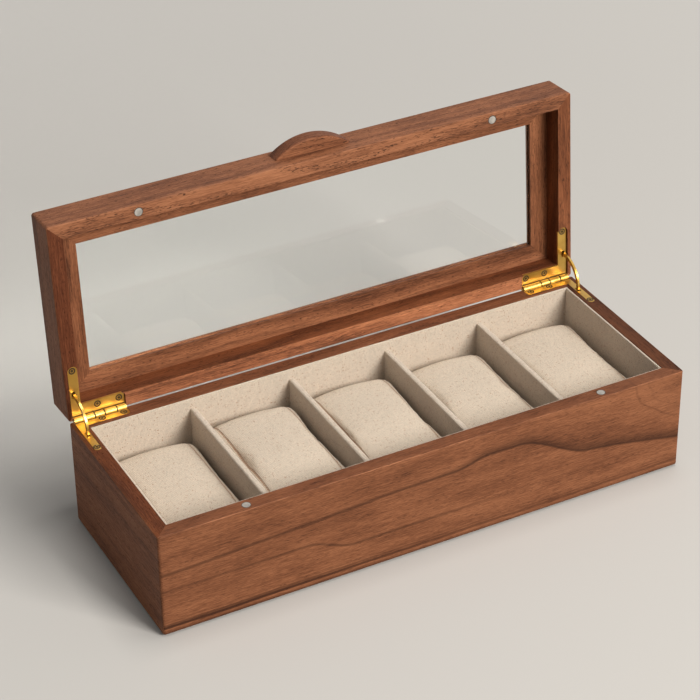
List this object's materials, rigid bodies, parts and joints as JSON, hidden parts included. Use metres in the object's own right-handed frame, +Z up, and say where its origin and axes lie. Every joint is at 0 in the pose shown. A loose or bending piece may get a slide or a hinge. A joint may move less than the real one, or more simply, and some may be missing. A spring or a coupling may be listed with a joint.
{
  "type": "watch display box",
  "caption": "Walnut watch display box with a glazed lid on stayed brass hinges and linen cushions in lined compartments.",
  "frame": {"origin": "centre of the underside of the felt that the box stands on", "axes": "+Z up, +X along the length to the right seen from the front, -Y out of the front face"},
  "size_m": [0.32, 0.1482, 0.1889],
  "materials": {
    "walnut": "oiled satin walnut",
    "panel_wood": "bare plywood, oiled",
    "felt": "short dark brown felt",
    "lining_linen": "plain-weave linen on board",
    "cushion_linen": "plain-weave linen, padded",
    "glass": "clear polished glass",
    "magnet_nickel": "satin nickel plate",
    "hinge_brass": "polished brass",
    "screw_brass": "polished brass"
  },
  "bodies": {
    "base": {"wall_front": "walnut", "wall_back": "walnut", "wall_left": "walnut", "wall_right": "walnut", "base_panel": "panel_wood", "felt_pad": "felt", "liner_floor": "lining_linen", "liner_front": "lining_linen", "liner_back": "lining_linen", "liner_left": "lining_linen", "liner_right": "lining_linen", "divider_1": "lining_linen", "divider_2": "lining_linen", "divider_3": "lining_linen", "divider_4": "lining_linen", "base_magnet_left": "magnet_nickel", "base_magnet_right": "magnet_nickel", "base_leaf_left": "hinge_brass", "base_leaf_right": "hinge_brass", "base_screws_left": "screw_brass", "base_screws_right": "screw_brass", "hinge_pin_left": "hinge_brass", "hinge_pin_right": "hinge_brass"},
    "lid": {"lid_rail_front": "walnut", "lid_rail_back": "walnut", "lid_rail_left": "walnut", "lid_rail_right": "walnut", "glass_frame_front": "walnut", "glass_frame_back": "walnut", "glass_frame_left": "walnut", "glass_frame_right": "walnut", "glass_pane": "glass", "pull_tab": "walnut", "lid_magnet_left": "magnet_nickel", "lid_magnet_right": "magnet_nickel", "lid_leaf_left": "hinge_brass", "lid_leaf_right": "hinge_brass", "lid_screws_left": "screw_brass", "lid_screws_right": "screw_brass"},
    "stay_left": {"stay_left": "hinge_brass"},
    "stay_right": {"stay_right": "hinge_brass"},
    "cushion_1": {"cushion_1": "cushion_linen"},
    "cushion_2": {"cushion_2": "cushion_linen"},
    "cushion_3": {"cushion_3": "cushion_linen"},
    "cushion_4": {"cushion_4": "cushion_linen"},
    "cushion_5": {"cushion_5": "cushion_linen"}
  },
  "joints": [
    {"name": "lid_hinge", "type": "hinge", "parent": "base", "child": "lid", "pos_m": [0, 0.0587, 0.0646], "axis": [-1, 0, 0], "range_deg": [-94.3, 0]},
    {"name": "stay_left_swing", "type": "hinge", "parent": "base", "child": "stay_left", "pos_m": [0, 0.0587, 0.0646], "axis": [-1, 0, 0], "range_deg": [-47.15, 0]},
    {"name": "stay_right_swing", "type": "hinge", "parent": "base", "child": "stay_right", "pos_m": [0, 0.0587, 0.0646], "axis": [-1, 0, 0], "range_deg": [-47.15, 0]},
    {"name": "cushion_1_lift", "type": "slide", "parent": "base", "child": "cushion_1", "axis": [0, 0, 1], "range_m": [0, 0.06]},
    {"name": "cushion_2_lift", "type": "slide", "parent": "base", "child": "cushion_2", "axis": [0, 0, 1], "range_m": [0, 0.06]},
    {"name": "cushion_3_lift", "type": "slide", "parent": "base", "child": "cushion_3", "axis": [0, 0, 1], "range_m": [0, 0.06]},
    {"name": "cushion_4_lift", "type": "slide", "parent": "base", "child": "cushion_4", "axis": [0, 0, 1], "range_m": [0, 0.06]},
    {"name": "cushion_5_lift", "type": "slide", "parent": "base", "child": "cushion_5", "axis": [0, 0, 1], "range_m": [0, 0.06]}
  ],
  "couplings": [
    {"joint": "stay_left_swing", "follows": "lid_hinge", "ratio": 0.5},
    {"joint": "stay_right_swing", "follows": "lid_hinge", "ratio": 0.5}
  ]
}
